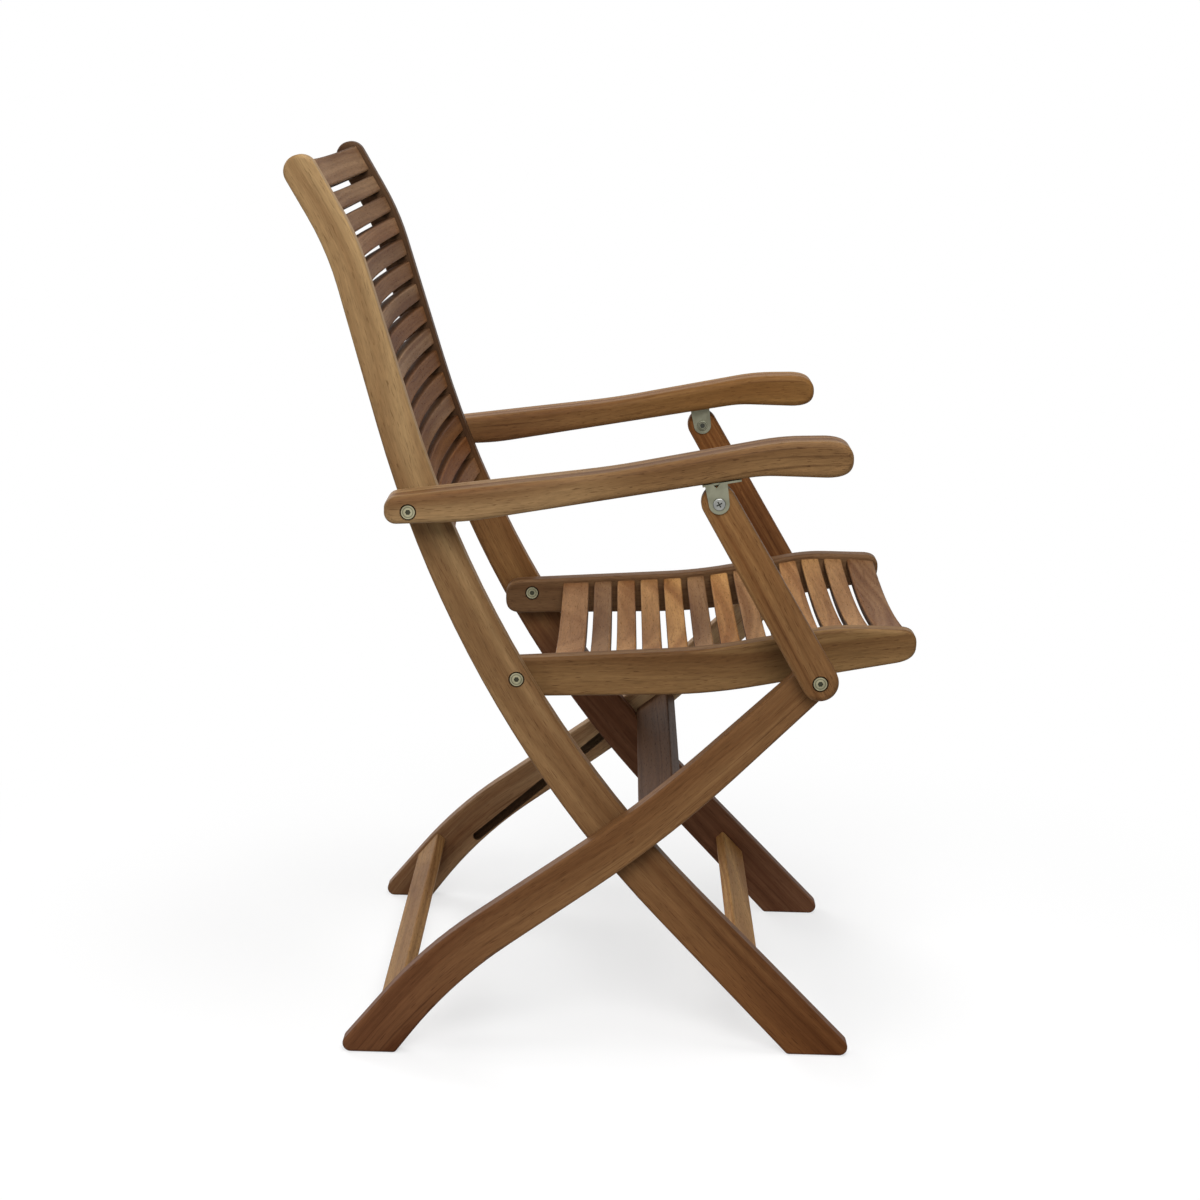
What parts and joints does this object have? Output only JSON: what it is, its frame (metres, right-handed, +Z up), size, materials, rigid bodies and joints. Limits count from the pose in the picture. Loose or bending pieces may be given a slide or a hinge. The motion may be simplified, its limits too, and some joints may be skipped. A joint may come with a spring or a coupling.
{
  "type": "folding armchair",
  "caption": "Folding slatted wooden armchair with curved crossed legs, a bowed high back, a dished seat and scrolled arms on swinging posts.",
  "frame": {"origin": "on the floor under the middle of the chair's overall box", "axes": "+X to the chair's front, +Y to the sitter's left, +Z up"},
  "size_m": [0.6661, 0.59, 0.95],
  "materials": {
    "stile_wood": "oiled satin",
    "back_slat_wood": "oiled satin",
    "seat_slat_wood": "oiled satin",
    "rail_wood": "oiled satin",
    "leg_wood": "oiled satin",
    "arm_wood": "oiled satin",
    "zinc_steel": "zinc plated"
  },
  "bodies": {
    "back_frame": {"right_stile": "stile_wood", "left_stile": "stile_wood", "back_slat_01": "back_slat_wood", "back_slat_02": "back_slat_wood", "back_slat_03": "back_slat_wood", "back_slat_04": "back_slat_wood", "back_slat_05": "back_slat_wood", "back_slat_06": "back_slat_wood", "back_slat_07": "back_slat_wood", "back_slat_08": "back_slat_wood", "back_slat_09": "back_slat_wood", "back_slat_10": "back_slat_wood", "back_slat_11": "back_slat_wood", "back_slat_12": "back_slat_wood", "back_slat_13": "back_slat_wood", "back_slat_14": "back_slat_wood", "back_slat_15": "back_slat_wood", "front_stretcher": "leg_wood", "slide_pins": "zinc_steel", "seat_pivot_barrels": "zinc_steel", "seat_pivot_screws": "zinc_steel", "seat_pivot_washers": "zinc_steel", "arm_pivot_barrels": "zinc_steel", "arm_pivot_screws": "zinc_steel", "arm_pivot_washers": "zinc_steel"},
    "seat": {"right_seat_rail": "rail_wood", "left_seat_rail": "rail_wood", "seat_slat_01": "seat_slat_wood", "seat_slat_02": "seat_slat_wood", "seat_slat_03": "seat_slat_wood", "seat_slat_04": "seat_slat_wood", "seat_slat_05": "seat_slat_wood", "seat_slat_06": "seat_slat_wood", "seat_slat_07": "seat_slat_wood", "seat_slat_08": "seat_slat_wood", "seat_slat_09": "seat_slat_wood", "seat_slat_10": "seat_slat_wood", "seat_slat_11": "seat_slat_wood", "seat_slat_12": "seat_slat_wood", "seat_slat_13": "seat_slat_wood", "front_pivot_barrels": "zinc_steel", "front_pivot_screws": "zinc_steel", "front_pivot_washers": "zinc_steel", "front_pivot_spacers": "zinc_steel"},
    "leg_frame": {"right_rear_leg": "leg_wood", "left_rear_leg": "leg_wood", "rear_stretcher": "leg_wood", "stop_bar": "leg_wood"},
    "right_arm": {"right_arm": "arm_wood", "right_arm_bracket": "zinc_steel", "right_bracket_bolt": "zinc_steel", "right_bracket_nut": "zinc_steel", "right_bracket_screws": "zinc_steel"},
    "left_arm": {"left_arm": "arm_wood", "left_arm_bracket": "zinc_steel", "left_bracket_bolt": "zinc_steel", "left_bracket_nut": "zinc_steel", "left_bracket_screws": "zinc_steel"},
    "right_post": {"right_post": "arm_wood"},
    "left_post": {"left_post": "arm_wood"}
  },
  "joints": [
    {"name": "seat_fold", "type": "hinge", "parent": "back_frame", "child": "seat", "pos_m": [-0.08843, 0, 0.4125], "axis": [0, -1, 0], "range_deg": [0, 100]},
    {"name": "leg_fold", "type": "hinge", "parent": "seat", "child": "leg_frame", "pos_m": [0.22657, 0, 0.429], "axis": [0, -1, 0], "range_deg": [-31.6, 0]},
    {"name": "right_arm_fold", "type": "hinge", "parent": "back_frame", "child": "right_arm", "pos_m": [-0.19934, -0.268, 0.598], "axis": [0, -1, 0], "range_deg": [0, 100]},
    {"name": "left_arm_fold", "type": "hinge", "parent": "back_frame", "child": "left_arm", "pos_m": [-0.19934, 0.268, 0.598], "axis": [0, -1, 0], "range_deg": [0, 100]},
    {"name": "right_post_fold", "type": "hinge", "parent": "seat", "child": "right_post", "pos_m": [0.22657, -0.278, 0.429], "axis": [0, -1, 0], "range_deg": [-100, 0]},
    {"name": "left_post_fold", "type": "hinge", "parent": "seat", "child": "left_post", "pos_m": [0.22657, 0.278, 0.429], "axis": [0, -1, 0], "range_deg": [-100, 0]}
  ],
  "couplings": [
    {"joint": "leg_fold", "follows": "seat_fold", "ratio": -0.315},
    {"joint": "right_arm_fold", "follows": "seat_fold", "ratio": 1},
    {"joint": "left_arm_fold", "follows": "seat_fold", "ratio": 1},
    {"joint": "right_post_fold", "follows": "seat_fold", "ratio": -1},
    {"joint": "left_post_fold", "follows": "seat_fold", "ratio": -1}
  ]
}
